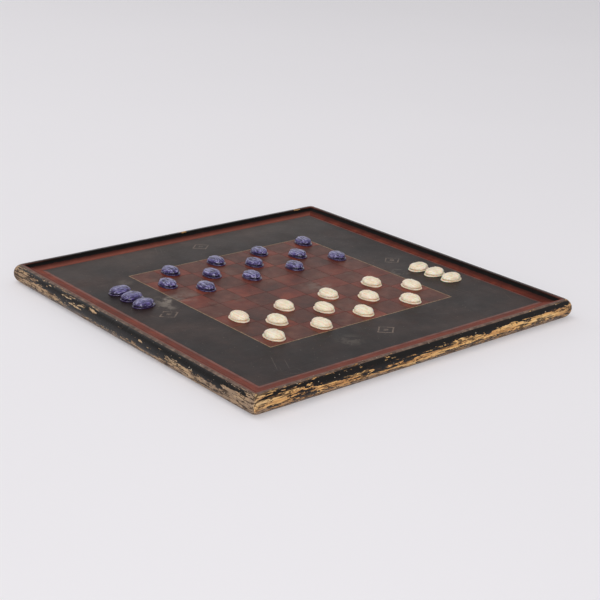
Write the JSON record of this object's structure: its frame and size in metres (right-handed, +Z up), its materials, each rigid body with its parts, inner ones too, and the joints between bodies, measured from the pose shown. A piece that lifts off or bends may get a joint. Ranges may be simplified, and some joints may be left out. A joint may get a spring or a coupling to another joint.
{
  "type": "draughts board",
  "caption": "Square painted wooden draughts board with a raised moulded rim and a recessed checked field, set out with loose oval beetle-shaped playing pieces that lift off.",
  "frame": {"origin": "centre of the board's underside, on the table", "axes": "+Z up; the sides lie along X and Y; row 0 of the squares, in front of the indigo player, is at +Y and column 0 is at -X"},
  "size_m": [0.5334, 0.5334, 0.028],
  "materials": {
    "rim_paint": "old gloss black paint, flaked to bare wood on the outer face, red inside",
    "panel_paint": "worn black field with red and brown-grey squares and a thin gilt line",
    "bare_wood": "bare softwood",
    "brad_steel": "dull drawn steel",
    "indigo_glaze": "satin indigo glaze",
    "cream_glaze": "satin cream glaze"
  },
  "bodies": {
    "board": {"key_back": "bare_wood", "key_front": "bare_wood", "key_left": "bare_wood", "key_right": "bare_wood", "plank_back": "panel_paint", "plank_front": "panel_paint", "plank_middle": "panel_paint", "rim_brads": "brad_steel", "rim_left_back": "rim_paint", "rim_left_front": "rim_paint", "rim_right_back": "rim_paint", "rim_right_front": "rim_paint", "spline_back": "bare_wood", "spline_front": "bare_wood"},
    "cream_beetle_01": {"cream_beetle_01": "cream_glaze"},
    "cream_beetle_02": {"cream_beetle_02": "cream_glaze"},
    "cream_beetle_03": {"cream_beetle_03": "cream_glaze"},
    "cream_beetle_04": {"cream_beetle_04": "cream_glaze"},
    "cream_beetle_05": {"cream_beetle_05": "cream_glaze"},
    "cream_beetle_06": {"cream_beetle_06": "cream_glaze"},
    "cream_beetle_07": {"cream_beetle_07": "cream_glaze"},
    "cream_beetle_08": {"cream_beetle_08": "cream_glaze"},
    "cream_beetle_09": {"cream_beetle_09": "cream_glaze"},
    "cream_beetle_10": {"cream_beetle_10": "cream_glaze"},
    "cream_beetle_11": {"cream_beetle_11": "cream_glaze"},
    "cream_beetle_12": {"cream_beetle_12": "cream_glaze"},
    "cream_beetle_13": {"cream_beetle_13": "cream_glaze"},
    "cream_beetle_14": {"cream_beetle_14": "cream_glaze"},
    "cream_beetle_15": {"cream_beetle_15": "cream_glaze"},
    "indigo_beetle_01": {"indigo_beetle_01": "indigo_glaze"},
    "indigo_beetle_02": {"indigo_beetle_02": "indigo_glaze"},
    "indigo_beetle_03": {"indigo_beetle_03": "indigo_glaze"},
    "indigo_beetle_04": {"indigo_beetle_04": "indigo_glaze"},
    "indigo_beetle_05": {"indigo_beetle_05": "indigo_glaze"},
    "indigo_beetle_06": {"indigo_beetle_06": "indigo_glaze"},
    "indigo_beetle_07": {"indigo_beetle_07": "indigo_glaze"},
    "indigo_beetle_08": {"indigo_beetle_08": "indigo_glaze"},
    "indigo_beetle_09": {"indigo_beetle_09": "indigo_glaze"},
    "indigo_beetle_10": {"indigo_beetle_10": "indigo_glaze"},
    "indigo_beetle_11": {"indigo_beetle_11": "indigo_glaze"},
    "indigo_beetle_12": {"indigo_beetle_12": "indigo_glaze"},
    "indigo_beetle_13": {"indigo_beetle_13": "indigo_glaze"},
    "indigo_beetle_14": {"indigo_beetle_14": "indigo_glaze"},
    "indigo_beetle_15": {"indigo_beetle_15": "indigo_glaze"}
  },
  "joints": [
    {"name": "lift_cream_beetle_01", "type": "slide", "parent": "board", "child": "cream_beetle_01", "axis": [0, 0, 1], "range_m": [0, 0.05]},
    {"name": "lift_cream_beetle_02", "type": "slide", "parent": "board", "child": "cream_beetle_02", "axis": [0, 0, 1], "range_m": [0, 0.05]},
    {"name": "lift_cream_beetle_03", "type": "slide", "parent": "board", "child": "cream_beetle_03", "axis": [0, 0, 1], "range_m": [0, 0.05]},
    {"name": "lift_cream_beetle_04", "type": "slide", "parent": "board", "child": "cream_beetle_04", "axis": [0, 0, 1], "range_m": [0, 0.05]},
    {"name": "lift_cream_beetle_05", "type": "slide", "parent": "board", "child": "cream_beetle_05", "axis": [0, 0, 1], "range_m": [0, 0.05]},
    {"name": "lift_cream_beetle_06", "type": "slide", "parent": "board", "child": "cream_beetle_06", "axis": [0, 0, 1], "range_m": [0, 0.05]},
    {"name": "lift_cream_beetle_07", "type": "slide", "parent": "board", "child": "cream_beetle_07", "axis": [0, 0, 1], "range_m": [0, 0.05]},
    {"name": "lift_cream_beetle_08", "type": "slide", "parent": "board", "child": "cream_beetle_08", "axis": [0, 0, 1], "range_m": [0, 0.05]},
    {"name": "lift_cream_beetle_09", "type": "slide", "parent": "board", "child": "cream_beetle_09", "axis": [0, 0, 1], "range_m": [0, 0.05]},
    {"name": "lift_cream_beetle_10", "type": "slide", "parent": "board", "child": "cream_beetle_10", "axis": [0, 0, 1], "range_m": [0, 0.05]},
    {"name": "lift_cream_beetle_11", "type": "slide", "parent": "board", "child": "cream_beetle_11", "axis": [0, 0, 1], "range_m": [0, 0.05]},
    {"name": "lift_cream_beetle_12", "type": "slide", "parent": "board", "child": "cream_beetle_12", "axis": [0, 0, 1], "range_m": [0, 0.05]},
    {"name": "lift_cream_beetle_13", "type": "slide", "parent": "board", "child": "cream_beetle_13", "axis": [0, 0, 1], "range_m": [0, 0.05]},
    {"name": "lift_cream_beetle_14", "type": "slide", "parent": "board", "child": "cream_beetle_14", "axis": [0, 0, 1], "range_m": [0, 0.05]},
    {"name": "lift_cream_beetle_15", "type": "slide", "parent": "board", "child": "cream_beetle_15", "axis": [0, 0, 1], "range_m": [0, 0.05]},
    {"name": "lift_indigo_beetle_01", "type": "slide", "parent": "board", "child": "indigo_beetle_01", "axis": [0, 0, 1], "range_m": [0, 0.05]},
    {"name": "lift_indigo_beetle_02", "type": "slide", "parent": "board", "child": "indigo_beetle_02", "axis": [0, 0, 1], "range_m": [0, 0.05]},
    {"name": "lift_indigo_beetle_03", "type": "slide", "parent": "board", "child": "indigo_beetle_03", "axis": [0, 0, 1], "range_m": [0, 0.05]},
    {"name": "lift_indigo_beetle_04", "type": "slide", "parent": "board", "child": "indigo_beetle_04", "axis": [0, 0, 1], "range_m": [0, 0.05]},
    {"name": "lift_indigo_beetle_05", "type": "slide", "parent": "board", "child": "indigo_beetle_05", "axis": [0, 0, 1], "range_m": [0, 0.05]},
    {"name": "lift_indigo_beetle_06", "type": "slide", "parent": "board", "child": "indigo_beetle_06", "axis": [0, 0, 1], "range_m": [0, 0.05]},
    {"name": "lift_indigo_beetle_07", "type": "slide", "parent": "board", "child": "indigo_beetle_07", "axis": [0, 0, 1], "range_m": [0, 0.05]},
    {"name": "lift_indigo_beetle_08", "type": "slide", "parent": "board", "child": "indigo_beetle_08", "axis": [0, 0, 1], "range_m": [0, 0.05]},
    {"name": "lift_indigo_beetle_09", "type": "slide", "parent": "board", "child": "indigo_beetle_09", "axis": [0, 0, 1], "range_m": [0, 0.05]},
    {"name": "lift_indigo_beetle_10", "type": "slide", "parent": "board", "child": "indigo_beetle_10", "axis": [0, 0, 1], "range_m": [0, 0.05]},
    {"name": "lift_indigo_beetle_11", "type": "slide", "parent": "board", "child": "indigo_beetle_11", "axis": [0, 0, 1], "range_m": [0, 0.05]},
    {"name": "lift_indigo_beetle_12", "type": "slide", "parent": "board", "child": "indigo_beetle_12", "axis": [0, 0, 1], "range_m": [0, 0.05]},
    {"name": "lift_indigo_beetle_13", "type": "slide", "parent": "board", "child": "indigo_beetle_13", "axis": [0, 0, 1], "range_m": [0, 0.05]},
    {"name": "lift_indigo_beetle_14", "type": "slide", "parent": "board", "child": "indigo_beetle_14", "axis": [0, 0, 1], "range_m": [0, 0.05]},
    {"name": "lift_indigo_beetle_15", "type": "slide", "parent": "board", "child": "indigo_beetle_15", "axis": [0, 0, 1], "range_m": [0, 0.05]}
  ]
}
